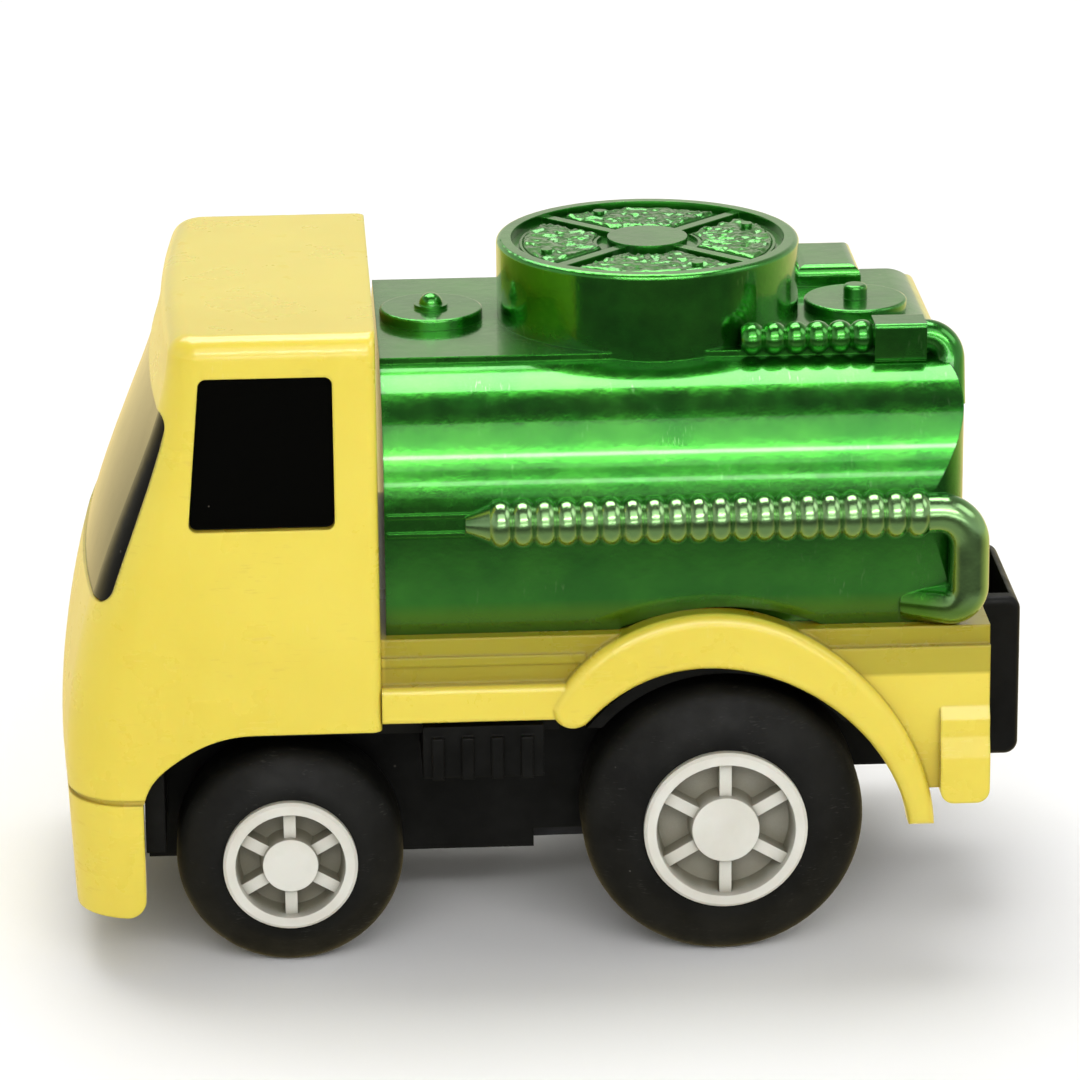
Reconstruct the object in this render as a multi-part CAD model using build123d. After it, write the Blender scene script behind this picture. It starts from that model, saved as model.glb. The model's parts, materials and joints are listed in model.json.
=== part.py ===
from build123d import *
import math
import os

# Pocket tanker truck with a pull-back motor. Millimetres, +X forward, +Y to the truck's left, +Z up.
# The origin is on the ground under the middle of the overall length and width.

# ---------------------------------------------------------------- overall sizes
overall_length = 49.6
front_overhang = 11.6
wheelbase = 22.0
body_half_width = 13.0
roof_height = 33.3
drum_top_height = 34.8
ground_clearance = 3.2

# ---------------------------------------------------------------- fits and walls
wall = 1.1
running_clearance = 0.05
seat_gap = 0.05
panel_gap = 0.3

# ---------------------------------------------------------------- wheels and axles
front_tyre_radius = 5.75
rear_tyre_radius = 7.15
front_rim_radius = 3.4
rear_rim_radius = 4.15
front_rim_face_y = 12.8
rear_rim_face_y = 13.1
front_tyre_width = 5.0
rear_tyre_width = 5.4
rim_lip_height = 0.45
rim_lip_width = 0.5
rim_wall = 0.72
dish_depth = 1.5
spoke_count = 6
spoke_width = 0.62
spoke_drop = 0.42
centre_drop = 0.15
hub_nose = 1.1
hub_web = 2.6
axle_radius = 0.75

cab_front_x = overall_length / 2
front_axle_x = cab_front_x - front_overhang
rear_axle_x = front_axle_x - wheelbase
tail_x = -overall_length / 2

# ---------------------------------------------------------------- cab
cab_length = 16.35
cab_rear_x = cab_front_x - cab_length
nose_swell = 0.08
cab_lean = 5.6
cab_narrowing = 0.5
front_tyre_room = 1.4
cab_bottom_edge = 2 * front_tyre_radius + front_tyre_room
cab_rear_corner = 0.5
roof_edge_radius = 1.1
roof_steps = 4
arch_room = 1.55
arch_front_x = front_axle_x + front_tyre_radius + arch_room
arch_top_radius = 5.6
bumper_height = 6.1
bumper_top = ground_clearance + bumper_height
bumper_groove = 0.3
bumper_groove_depth = 0.22
bumper_corner = 1.0
bumper_lean = 0.25
boss_width = 4.2
boss_height = 4.2
front_screw_setback = 1.2
front_screw_x = arch_front_x + front_screw_setback
screw_radius = 0.8
screw_reach = 2.9
screw_head_radius = 1.15
screw_head_height = 0.8
screw_slot = 0.35

# ---------------------------------------------------------------- windows
side_window_drop = 1.95
side_window_height = 7.75
side_window_head = roof_height - side_window_drop
side_window_sill = side_window_head - side_window_height
rear_pillar = 2.15
front_pillar_top = 7.65
front_pillar_low = 6.95
side_window_rear_x = cab_rear_x + rear_pillar
side_window_front_top_x = cab_front_x - front_pillar_top
side_window_front_low_x = cab_front_x - front_pillar_low
screen_drop_from_roof = 3.9
screen_height = 9.8
screen_head = roof_height - screen_drop_from_roof
screen_sill = screen_head - screen_height
glazing_margin = 1.2
pillar_width = 0.8
window_corner = 0.4
side_glass_drop = 0.35
screen_drop = 0.08
glazing_skin = 0.8

# ---------------------------------------------------------------- bed and fenders
bed_half_width = 12.9
bed_front_x = cab_rear_x
tail_block_depth = 2.65
bed_rear_x = tail_x + tail_block_depth
rear_screw_setback = 4.8
rear_screw_x = bed_rear_x + rear_screw_setback
sill_bottom = cab_bottom_edge + panel_gap
sill_height = 1.9
sill_top = sill_bottom + sill_height
chassis_plate_top = sill_bottom
deck_room = 0.75
bed_panel_inset = 0.75
sill_foot_room = 7.0
ledge_height = 0.5
rear_panel_drop = 1.0
fender_half_width = 13.15
arch_clearance = 1.4
fender_band = 2.85
fender_reach_room = 1.6
fender_reach = rear_tyre_radius + fender_reach_room
fender_round = 0.55
fender_steps = 4
fender_foot = 0.75
sill_round = 0.35
panel_line = 0.12
corner_box_depth = 2.4
corner_round = 0.7
mudguard_bottom = rear_tyre_radius - 0.05
corner_box_bottom = rear_tyre_radius + 1.15
corner_box_length = 2.5
corner_box_front_x = bed_rear_x + corner_box_length
corner_box_inset = 0.45
lamp_step = 0.3
lamp_reach = 0.35
lamp_slope = 0.65
lamp_lower_slope = 1.05
lamp_top = corner_box_bottom + 5.0
lamp_bottom = corner_box_bottom + 2.4
corner_box_top = sill_bottom + 3.0

# ---------------------------------------------------------------- tank
tank_front_x = cab_rear_x - panel_gap
tank_rear_inset = 1.3
tank_rear_x = bed_rear_x + tank_rear_inset
tank_half_width = 12.3
tank_foot_half_width = 11.45
drum_rise = 4.05
deck_height = drum_top_height - drum_rise
tank_waist_drop = 7.05
tank_waist_height = deck_height - tank_waist_drop
tank_shoulder = 1.25
tank_shoulder_drop = 2.9
deck_half_width = 7.4
deck_step = 0.35
tank_rear_corner = 1.9
fender_scallop_radius = 12.0
drum_offset = 0.52
drum_x = (tank_front_x + tank_rear_x) / 2 + drum_offset
drum_radius = 7.75
drum_edge_round = 0.25
drum_rim_width = 0.75
drum_dish = 0.5
drum_hub_radius = 2.05
drum_rib_width = 0.55
drum_pad_height = 0.18
drum_rivet_radius = 0.3
drum_rivet_inset = 1.3
drum_rivet_turn = 22
lid_radius = 2.65
lid_height = 0.55
front_lid_setback = 2.85
rear_lid_setback = 4.3
front_lid_x = tank_front_x - front_lid_setback
rear_lid_x = tank_rear_x + rear_lid_setback
knob_radius = 0.62
knob_height = 0.7
far_box_length = 3.4
far_box_width = 5.3
far_box_y = -6.65
far_box_height = 1.1
far_box_round = 0.6
lower_hose_height = tank_waist_height - 0.2
lower_hose_radius = 1.25
lower_hose_setback = 5.2
hose_groove = 0.28
lower_hose_ridges = 20
nozzle_length = 1.2
pipe_radius = 1.0
pipe_bend = 1.6
pipe_foot_bend = 1.1
pipe_tuck = 1.3
mould_line = 0.12
mould_line_pitch = 0.95
upper_hose_radius = 0.85
upper_hose_ridges = 6
upper_hose_start = 4.15
upper_hose_y = 7.2
coupling_length = 2.6
coupling_half_width = 1.0
upper_pipe_radius = 0.8
upper_pipe_bend = 1.2
upper_pipe_drop = 3.4

# ---------------------------------------------------------------- chassis
chassis_half_width = 11.75
chassis_plate = 1.1
rail_inner_y = 5.25
rail_wall = 1.15
rail_bottom = 4.0
rail_step = 1.0
rail_step_x = rear_axle_x + 9.4
chassis_wall = 1.0
floor_wall = 0.8
front_wall_bottom = 6.3
rear_floor = 8.0
rear_floor_setback = 5.5
liner_room = 1.05
liner_drop = 0.5
liner_wall = 0.6
side_box_gap = 9.1
side_box_length = 6.1
side_box_bottom = 9.9
side_rib_count = 4
side_rib_pitch = 1.5
side_rib = 0.3
axle_slot_room = 0.3
tail_round = 0.7
coin_slot_depth = 3.5
tail_block_half_width = 4.6
tail_block_bottom = rear_floor - 0.35
tail_block_drop = 1.2
coin_slot = 1.8
coin_slot_length = 7.6

# ---------------------------------------------------------------- motor
gear_module = 0.36
gear_teeth = 24
pinion_teeth = 10
pressure_angle = 25.0
backlash = 0.07
pinion_angle = 28.0
spring_angle = -4.0
gear_width = 1.5
gear_gap = 0.35
motor_wall = 0.8
motor_half_width = 4.9
motor_room = 0.2
motor_ear = 1.0
motor_ear_half_width = 2.6
motor_ear_rest = 1.0
motor_ear_reach = 3.2
pin_radius = 0.5
arbor_radius = 0.9
spring_strip = 0.25
spring_width = 2.6
spring_turns = 5
spring_outer_radius = 4.1


# ================================================================ helpers
def block(x0, x1, y0, y1, z0, z1):
    """A box between two corners."""
    size = Box(abs(x1 - x0), abs(y1 - y0), abs(z1 - z0))
    return Pos((x0 + x1) / 2, (y0 + y1) / 2, (z0 + z1) / 2) * size


def across(outline, y0, y1):
    """Extrude an outline drawn in X and Z across the truck from y0 to y1."""
    return extrude(Plane.XZ.offset(-y0) * outline, amount=-(y1 - y0))


def rod(x, z, radius, y0, y1):
    """A round bar or bore across the truck."""
    return across(Pos(x, z) * Circle(radius), y0, y1)


def outline(*edges):
    return make_face(list(edges))


def mirrored(part):
    """The part and its mirror image on the truck's other side."""
    return part + mirror(part, about=Plane.XZ)


# ================================================================ cab
def cab_levels():
    """Height, front X, half width, crown and corner radius from the bumper line to the roof."""
    front = cab_front_x - nose_swell
    rise = roof_height - roof_edge_radius - bumper_top
    levels = []
    for share, lean, narrowing, crown, corner in (
            (0.0, 0.0, 0.0, 0.7, 3.2),
            (0.22, 0.03, 0.0, 0.8, 3.3),
            (0.42, 0.19, 0.0, 1.0, 3.4),
            (0.62, 0.45, 0.2, 1.2, 3.2),
            (0.82, 0.79, 0.6, 0.9, 2.4),
            (1.0, 1.0, 1.0, 0.6, 1.7)):
        level_front = front - cab_lean * lean
        half = body_half_width - cab_narrowing * narrowing
        levels.append((bumper_top + rise * share, level_front, half, crown, corner))
    return levels


def bumper_levels():
    """The two slices of the bumper, slightly narrower at the bottom."""
    height, front, side, crown, corner = cab_levels()[0]
    low = (ground_clearance, front - bumper_lean, side - bumper_lean / 2, crown, corner)
    return [low, (height, front, side, crown, corner)]


def cab_section(level, inset):
    """One horizontal slice of the cab, drawn in by inset on every side."""
    height, front, side, crown, corner = level
    y = side - inset
    rear = cab_rear_x + inset
    nose = front - inset
    shoulder = nose - crown
    plan = outline(
        Line((rear, -y), (shoulder, -y)),
        ThreePointArc((shoulder, -y), (nose, 0), (shoulder, y)),
        Line((shoulder, y), (rear, y)),
        Line((rear, y), (rear, -y)),
    )
    front_corners = plan.vertices().filter_by(lambda v: v.X > rear + 1)
    plan = fillet(front_corners, max(corner - inset, 0.4))
    rear_corners = plan.vertices().filter_by(lambda v: v.X < rear + 0.1)
    plan = fillet(rear_corners, max(cab_rear_corner - inset, 0.1))
    return Plane.XY.offset(height) * plan


def roof_levels():
    """The slices that round the roof's edge, the last one flat."""
    height, front, side, crown, corner = cab_levels()[-1]
    levels = []
    for step in range(roof_steps + 1):
        turn = math.radians(90 * step / roof_steps)
        draw_in = roof_edge_radius * (1 - math.cos(turn))
        rise = roof_edge_radius * math.sin(turn)
        levels.append((height + rise, front - draw_in, side - draw_in, crown, corner - draw_in))
    return levels


def cab_form(inset):
    """The cab's rounded block, drawn in by inset."""
    body = loft([cab_section(level, inset) for level in cab_levels()])
    roof = loft([cab_section(level, inset) for level in roof_levels()])
    bumper = loft([cab_section(level, inset) for level in bumper_levels()])
    return Pos(0, 0, -inset) * (bumper + body + roof)


def side_window(grow):
    """The side window's outline in X and Z, larger by grow."""
    face = outline(
        Line((side_window_rear_x, side_window_head), (side_window_front_top_x, side_window_head)),
        Line((side_window_front_top_x, side_window_head), (side_window_front_low_x, side_window_sill)),
        Line((side_window_front_low_x, side_window_sill), (side_window_rear_x, side_window_sill)),
        Line((side_window_rear_x, side_window_sill), (side_window_rear_x, side_window_head)),
    )
    face = fillet(face.vertices(), window_corner)
    return offset(face, amount=grow) if grow else face


def window_openings(grow):
    """Cutting block of both side windows and the windscreen."""
    sides = across(side_window(grow), -body_half_width - 1, body_half_width + 1)
    screen_half = body_half_width - cab_narrowing / 2 - pillar_width + grow
    screen = block(
        side_window_front_low_x + 1.0 - grow, cab_front_x + 1,
        -screen_half, screen_half,
        screen_sill - grow, screen_head + grow,
    )
    edges = screen.edges().filter_by(Axis.X)
    screen = fillet(edges, window_corner * 2)
    return sides, screen


def wheel_arch():
    """What the front wheel arch takes away from the cab's sides and inside."""
    low = ground_clearance - 2
    bend_x = arch_front_x - arch_top_radius * 1.02
    bend_z = cab_bottom_edge - arch_top_radius * 0.75
    return outline(
        Line((cab_rear_x - 1, low), (arch_front_x, low)),
        Line((arch_front_x, low), (arch_front_x, bend_z)),
        Spline((arch_front_x, bend_z), (arch_front_x - 1.55, cab_bottom_edge - 1.45),
               (bend_x, cab_bottom_edge), tangents=[(0, 1), (-1, 0)]),
        Line((bend_x, cab_bottom_edge), (cab_rear_x - 1, cab_bottom_edge)),
        Line((cab_rear_x - 1, cab_bottom_edge), (cab_rear_x - 1, low)),
    )


def bumper_trim():
    """The waste round the bumper's rounded lower corners."""
    length = cab_front_x - arch_front_x
    height = bumper_top - ground_clearance
    centre = (arch_front_x + length / 2, ground_clearance + height / 2)
    bar = Pos(*centre) * Rectangle(length, height)
    bar = fillet(bar.vertices().filter_by(lambda v: v.Y < ground_clearance + 0.1), bumper_corner)
    waste = Pos(*centre) * Rectangle(length + 2, height) - bar
    return across(waste, -body_half_width - 1, body_half_width + 1)


def cab_shell():
    """Cab moulding: open below, with window openings, front arches, bumper and a screw boss."""
    outer = cab_form(0)
    shell = outer - cab_form(wall)
    sides, screen = window_openings(0)
    shell -= sides
    shell -= screen
    shell -= across(wheel_arch(), -body_half_width - 1, body_half_width + 1)
    shell -= bumper_trim()
    groove = block(arch_front_x - 1, cab_front_x + 1, -body_half_width - 1, body_half_width + 1,
                   bumper_top, bumper_top + bumper_groove)
    shell -= groove - cab_form(bumper_groove_depth)
    boss = block(front_screw_x - boss_width / 2, cab_front_x, -boss_width / 2, boss_width / 2,
                 chassis_plate_top, chassis_plate_top + boss_height)
    shell += boss & cab_form(wall / 2)
    shell -= block(cab_rear_x - 1, cab_rear_x + wall + 0.1, -body_half_width, body_half_width,
                   cab_bottom_edge - 1, chassis_plate_top) - cab_side_walls()
    return shell - screw_hole(front_screw_x) - ear_notch()


def cab_side_walls():
    """The zone of the cab's two side walls."""
    inner = body_half_width - wall
    return mirrored(block(cab_rear_x - 2, cab_front_x, inner, body_half_width + 1, 0, roof_height))


def ear_notch():
    """Room in the cab's and the bed's meeting walls for the motor's front ear."""
    half = motor_ear_half_width + seat_gap
    return block(bed_front_x - wall - 0.1, cab_rear_x + wall + 0.1, -half, half,
                 chassis_plate_top, chassis_plate_top + motor_ear + seat_gap)


def glazing_insert():
    """One dark moulding inside the cab whose raised panes fill the windows."""
    back = wall + seat_gap
    liner = cab_form(back) - cab_form(back + glazing_skin)
    sides, screen = window_openings(-seat_gap)
    core = cab_form(back + glazing_skin)
    side_panes = (cab_form(side_glass_drop) & sides) - core
    screen_pane = (cab_form(screen_drop) & screen) - core
    reach = block(side_window_rear_x - glazing_margin, cab_front_x, -body_half_width, body_half_width,
                  screen_sill - glazing_margin, roof_height)
    return (liner & reach) + side_panes + screen_pane


# ================================================================ screws
def screw_hole(x):
    """The bore that a body screw's thread holds in."""
    return Pos(x, 0, chassis_plate_top + screw_reach / 2) * Cylinder(screw_radius, screw_reach)


def body_screw(x):
    """A pan head screw driven up through the chassis plate."""
    under_head = chassis_plate_top - chassis_plate
    length = screw_reach + chassis_plate
    shank = Pos(x, 0, under_head + length / 2) * Cylinder(screw_radius, length)
    head = Pos(x, 0, under_head - screw_head_height / 2) * Cylinder(screw_head_radius, screw_head_height)
    head = fillet(head.edges().sort_by(Axis.Z)[0], screw_head_height / 2)
    slot = Box(screw_head_radius, screw_slot, screw_head_height)
    cross = Pos(x, 0, under_head - screw_head_height) * (slot + Rot(0, 0, 90) * slot)
    return shank + head - cross


def body_screws():
    return Compound(children=[body_screw(front_screw_x), body_screw(rear_screw_x)])


# ================================================================ bed
def well_radius():
    """Inner radius of the curved well over a rear tyre."""
    return rear_tyre_radius + liner_room


def well_centre_z():
    return rear_tyre_radius - liner_drop


def bed_deck():
    """Top of the deck plate, which clears the wells, the motor and the motor's ears."""
    well_top = well_centre_z() + well_radius() + liner_wall
    motor_top = idler_centre()[1] + tip_radius(gear_teeth) + motor_room + motor_wall
    ear_top = chassis_plate_top + motor_ear
    return max(well_top, motor_top, ear_top) + deck_room + wall


def tail_block_top():
    return bed_deck() - tail_block_drop


def towards_axle(points, amount):
    """The points moved by amount towards the rear axle's centre."""
    moved = []
    for x, z in points:
        dx = x - rear_axle_x
        dz = z - rear_tyre_radius
        share = amount / math.hypot(dx, dz)
        moved.append((x - dx * share, z - dz * share))
    return moved


def fender_outer(inset=0.0):
    """Outer edge of the fender band as points from its front foot to its tail."""
    points = [
        (rear_axle_x + fender_reach, sill_bottom + 0.7),
        (rear_axle_x + fender_reach - 2.85, fender_top() - 1.45),
        (rear_axle_x - 0.3, fender_top()),
        (rear_axle_x - fender_reach + 1.35, fender_top() - 4.05),
        (rear_axle_x - fender_reach - 1.85, mudguard_bottom + inset),
    ]
    return towards_axle(points, inset)


def fender_inner(inset=0.0):
    """Inner edge of the fender band, the rear wheel's arch."""
    points = [
        (rear_axle_x + fender_reach - 1.9, sill_bottom - 0.1),
        (rear_axle_x + 0.1, fender_top() - fender_band),
        (rear_axle_x - fender_reach + 2.15, fender_top() - fender_band - 3.35),
        (rear_axle_x - fender_reach - 0.55, mudguard_bottom + inset),
    ]
    return towards_axle(points, -inset)


def fender_top():
    """Height of the fender band's top over the rear tyre."""
    return 2 * rear_tyre_radius + arch_clearance + fender_band


def fender_face(inset=0.0):
    """The fender band in side view, drawn in by inset all round."""
    outer = fender_outer(inset)
    inner = fender_inner(inset)
    foot_x = (outer[0][0] + inner[0][0]) / 2 + fender_foot / 8
    foot_z = (outer[0][1] + inner[0][1]) / 2 - fender_foot + inset
    return outline(
        Spline(*outer),
        Line(outer[-1], inner[-1]),
        Spline(*inner[::-1]),
        ThreePointArc(inner[0], (foot_x, foot_z), outer[0]),
    )


def arch_face(inset):
    """The opening under the fender, its edge moved by inset into the fender band."""
    inner = fender_inner(inset)
    low = mudguard_bottom - 2
    return outline(
        Spline(*inner),
        Line(inner[-1], (inner[-1][0], low)),
        Line((inner[-1][0], low), (inner[0][0], low)),
        Line((inner[0][0], low), inner[0]),
    )


def fender():
    """One fender band, its outer edges rounded by slices drawn in step by step."""
    root = bed_half_width - bed_panel_inset - wall / 2
    flat_y = fender_half_width - fender_round
    band = across(fender_face(), root, flat_y)
    slices = []
    for step in range(fender_steps + 1):
        turn = math.radians(90 * step / fender_steps)
        y = flat_y + fender_round * math.sin(turn)
        slices.append(Plane.XZ.offset(-y) * fender_face(fender_round * (1 - math.cos(turn))))
    return band + loft(slices)


def corner_box():
    """Rear corner post, stepped outwards twice below the side panel."""
    panel_y = bed_half_width - corner_box_inset
    step_y = panel_y + lamp_step
    face_y = step_y + lamp_reach
    inner_y = bed_half_width - corner_box_depth
    top = corner_box_top
    profile = Polyline((inner_y, corner_box_bottom), (face_y, corner_box_bottom), (face_y, lamp_bottom),
                       (step_y, lamp_bottom + lamp_lower_slope), (step_y, lamp_top - lamp_slope),
                       (panel_y, lamp_top), (panel_y, top), (inner_y, top), (inner_y, corner_box_bottom))
    post = extrude(Plane.YZ.offset(bed_rear_x) * make_face(profile), amount=corner_box_front_x - bed_rear_x)
    low_edges = post.edges().filter_by(Axis.Y).sort_by(Axis.Z)[:2]
    post = fillet(low_edges, corner_round)
    return post


def bed():
    """Load bed moulding: deck plate, stepped sides, sills, fenders, corner posts and rear wall."""
    deck = bed_deck()
    upper_half = bed_half_width - bed_panel_inset
    inner_half = upper_half - wall
    root = upper_half - wall
    sill_rear_x = rear_axle_x + sill_foot_room
    solid = block(bed_rear_x, bed_front_x, -upper_half, upper_half, sill_bottom, deck)
    sill = block(bed_front_x, sill_rear_x, root, bed_half_width, sill_bottom, sill_top)
    sill = fillet(sill.faces().sort_by(Axis.Y)[-1].edges().filter_by(Axis.X), sill_round)
    ledge_z = (sill_top + deck) / 2 - ledge_height / 2
    ledge = block(bed_front_x, sill_rear_x, root, upper_half + panel_line, ledge_z, ledge_z + ledge_height)
    rear_panel = block(bed_rear_x, rear_axle_x, root, bed_half_width - corner_box_inset,
                       corner_box_bottom + lamp_slope, deck - rear_panel_drop)
    rear_panel -= across(arch_face(fender_band / 3), root - 1, body_half_width + 1)
    shell = solid + mirrored(sill + ledge + corner_box() + rear_panel)
    shell -= block(bed_rear_x + wall, bed_front_x - wall, -inner_half, inner_half,
                   mudguard_bottom, deck - wall)
    arch = across(arch_face(2 * seat_gap), rail_inner_y, body_half_width + 1)
    shell -= mirrored(arch)
    shell += mirrored(fender())
    half = tail_block_half_width + seat_gap
    shell -= block(bed_rear_x - 1, bed_rear_x + 2 * wall, -half, half, 0, tail_block_top() + seat_gap)
    boss_rise = deck - wall - chassis_plate_top
    boss = Pos(rear_screw_x, 0, chassis_plate_top + boss_rise / 2)
    shell += boss * Cylinder(boss_width / 2, boss_rise)
    return shell - screw_hole(rear_screw_x) - ear_notch()


# ================================================================ tank
def tank_section(inset):
    """Half rounded cross section of the tank in Y and Z, drawn in by inset."""
    deck = deck_height - inset
    edge = deck_half_width - inset * 0.6
    waist = tank_half_width - inset
    foot = tank_foot_half_width - inset
    low = bed_deck()
    mid_low = (low + tank_waist_height) / 2
    right = [
        Line((0, deck), (edge, deck)),
        Line((edge, deck), (edge, deck - deck_step)),
        ThreePointArc((edge, deck - deck_step), ((edge + waist) / 2 + tank_shoulder, deck - tank_shoulder_drop),
                      (waist, tank_waist_height)),
        ThreePointArc((waist, tank_waist_height), (waist - 0.1, mid_low + 0.6), (foot, low)),
        Line((foot, low), (0, low)),
    ]
    half = outline(*right, Line((0, low), (0, deck)))
    return half + mirror(half, about=Plane.YZ)


def tank_body(inset):
    """The tank's section along the truck, its rear rounded in plan and in side view."""
    front = tank_front_x - inset
    rear = tank_rear_x + inset
    section = Plane.YZ.offset(front) * tank_section(inset)
    body = extrude(section, amount=rear - front)
    wide = tank_half_width - inset
    plan = Pos((front + rear) / 2, 0) * Rectangle(front - rear, 2 * wide)
    rear_corners = plan.vertices().filter_by(lambda v: v.X < rear + 0.1)
    plan = fillet(rear_corners, tank_rear_corner - inset / 2)
    body &= Pos(0, 0, bed_deck() - 1) * extrude(plan, deck_height)
    side = Pos((front + rear) / 2, deck_height - inset - 10) * Rectangle(front - rear, 20)
    top_rear = side.vertices().filter_by(lambda v: v.X < rear + 0.1 and v.Y > deck_height - 5)
    side = fillet(top_rear, tank_rear_corner - inset / 2)
    return body & across(side, -wide - 1, wide + 1)


def ribbed_hose(front_x, y, z, radius, pitch, ridges):
    """A straight corrugated hose: one revolved outline with a round ridge for each pitch."""
    root = radius - hose_groove
    edges = []
    x = front_x
    for _ in range(ridges):
        edges.append(ThreePointArc((x, root), (x - pitch / 2, radius), (x - pitch, root)))
        x -= pitch
    edges.append(Line((x, root), (x, 0)))
    edges.append(Line((x, 0), (front_x, 0)))
    edges.append(Line((front_x, 0), (front_x, root)))
    solid = revolve(outline(*edges), Axis.X)
    return Pos(0, y, z) * solid


def nozzle(front_x, y, z, radius, length):
    """The tapered tip of the lower hose."""
    cone = Cone(radius, radius * 0.45, length)
    return Pos(front_x + length / 2, y, z) * Rot(0, 90, 0) * cone


def pipe(points, radii, radius):
    """A smooth round pipe along straight runs joined by tangent arcs."""
    path = FilletPolyline(*points, radius=radii)
    start = Plane(origin=points[0], z_dir=Vector(*points[1]) - Vector(*points[0]))
    return sweep(start * Circle(radius), path=path)


def side_hose():
    """The hose along the tank's side with its pipe down the rear corner."""
    y = tank_half_width
    z = lower_hose_height
    front_x = tank_front_x - lower_hose_setback
    drop_x = bed_rear_x + pipe_radius + panel_gap / 2
    rear_x = drop_x + pipe_bend + pipe_radius / 2
    pitch = (front_x - rear_x) / lower_hose_ridges
    hose = ribbed_hose(front_x, y, z, lower_hose_radius, pitch, lower_hose_ridges)
    tip = nozzle(front_x, y, z, lower_hose_radius - hose_groove, nozzle_length)
    foot_z = bed_deck() + pipe_radius + seat_gap
    inner_y = y - pipe_tuck
    down = pipe(
        [(rear_x + pitch / 3, y, z), (drop_x, y, z), (drop_x, y, foot_z),
         (drop_x + 3 * pipe_radius, inner_y, foot_z)],
        [pipe_bend, pipe_foot_bend], pipe_radius)
    return hose + tip + down


def mould_lines():
    """Two thin ridges on the tank's side in front of the hose's tip."""
    front_x = tank_front_x - mould_line
    rear_x = tank_front_x - lower_hose_setback
    ridges = Part()
    for z in (lower_hose_height + mould_line_pitch / 2, lower_hose_height - mould_line_pitch / 2):
        ridges += block(rear_x, front_x, tank_half_width - wall / 2, tank_half_width + mould_line,
                        z - mould_line, z + mould_line)
    return ridges


def deck_hose():
    """The short hose on the left of the deck, its coupling and its pipe over the rear edge."""
    y = upper_hose_y
    z = deck_height + upper_hose_radius * 0.6
    front_x = drum_x - upper_hose_start
    out_x = tank_rear_x + upper_pipe_radius / 2
    rear_x = out_x + upper_pipe_bend + coupling_length
    pitch = (front_x - rear_x) / upper_hose_ridges
    hose = ribbed_hose(front_x, y, z, upper_hose_radius, pitch, upper_hose_ridges)
    half = coupling_half_width
    coupling = block(rear_x, rear_x - coupling_length, y - half, y + half,
                     deck_height - wall / 2, z + upper_hose_radius)
    coupling = fillet(coupling.edges().filter_by(Axis.X), upper_hose_radius / 4)
    low_y = y + upper_pipe_radius
    down = pipe([(rear_x - coupling_length + upper_pipe_radius, y, z), (out_x, y, z),
                 (out_x, low_y, z - upper_pipe_drop)], [upper_pipe_bend], upper_pipe_radius)
    return hose + coupling + down


def drum():
    """The round filler housing on the deck with its sunk, ribbed top."""
    base = deck_height - tank_shoulder_drop
    body = Pos(drum_x, 0, (base + drum_top_height) / 2) * Cylinder(drum_radius, drum_top_height - base)
    body = fillet(body.edges().filter_by(GeomType.CIRCLE).sort_by(Axis.Z)[-1], drum_edge_round)
    floor_z = drum_top_height - drum_dish
    ring = drum_radius - drum_rim_width
    body -= Pos(drum_x, 0, floor_z + drum_dish) * Cylinder(ring, 2 * drum_dish)
    rib_height = drum_dish * 0.7
    for turn in (45, 135):
        rib = Pos(drum_x, 0, floor_z + rib_height / 2) * Rot(0, 0, turn)
        body += rib * Box(2 * ring, drum_rib_width, rib_height)
    for turn in range(0, 360, 90):
        body += sector_pad(turn, floor_z)
        rivet = Rot(0, 0, turn + drum_rivet_turn) * Pos(ring - drum_rivet_inset, 0, 0)
        body += Pos(drum_x, 0, floor_z + drum_dish / 2) * rivet * Cylinder(drum_rivet_radius, drum_dish)
    return body + Pos(drum_x, 0, floor_z + drum_dish / 2) * Cylinder(drum_hub_radius, drum_dish)


def sector_pad(turn, floor_z):
    """A low raised pad between two ribs of the drum's top."""
    inner = drum_hub_radius + drum_rib_width
    outer = drum_radius - drum_rim_width - 0.8 * drum_rib_width
    ring = Circle(outer) - Circle(inner)
    apex = 1.8 * drum_rib_width
    reach = 2 * drum_radius
    wedge = Polygon((apex, 0), (apex + reach, reach), (apex + reach, -reach), align=None)
    pad = extrude(ring & wedge, drum_pad_height)
    return Pos(drum_x, 0, floor_z) * Rot(0, 0, turn) * pad


def lid(x, domed):
    """A round manhole lid with its knob."""
    top = deck_height + lid_height
    low = deck_height - wall / 2
    plate = Pos(x, 0, (top + low) / 2) * Cylinder(lid_radius, top - low)
    plate = fillet(plate.edges().sort_by(Axis.Z)[-1], lid_height / 4)
    if domed:
        collar = Pos(x, 0, top) * Cylinder(knob_radius * 1.4, knob_height / 2)
        return plate + collar + Pos(x, 0, top + knob_height / 6) * Sphere(knob_radius)
    knob = Pos(x, 0, top + knob_height / 2) * Cylinder(knob_radius, knob_height)
    return plate + fillet(knob.edges().sort_by(Axis.Z)[-1], knob_radius / 3)


def far_box():
    """The raised block on the right of the deck beside the rear lid."""
    y0 = far_box_y - far_box_width / 2
    y1 = far_box_y + far_box_width / 2
    front_x = rear_lid_x + lid_radius
    box = block(front_x - far_box_length, front_x, y0, y1,
                deck_height - tank_shoulder_drop / 2, deck_height + far_box_height)
    return fillet(box.faces().sort_by(Axis.Z)[-1].edges(), far_box_round)


def tank():
    """The plated tank moulding, open below, with everything moulded on it."""
    body = tank_body(0)
    body += drum() + lid(front_lid_x, True) + lid(rear_lid_x, False)
    body += deck_hose() + far_box() + mirrored(side_hose() + mould_lines())
    body -= tank_body(wall)
    return body - mirrored(fender_room())


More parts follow.
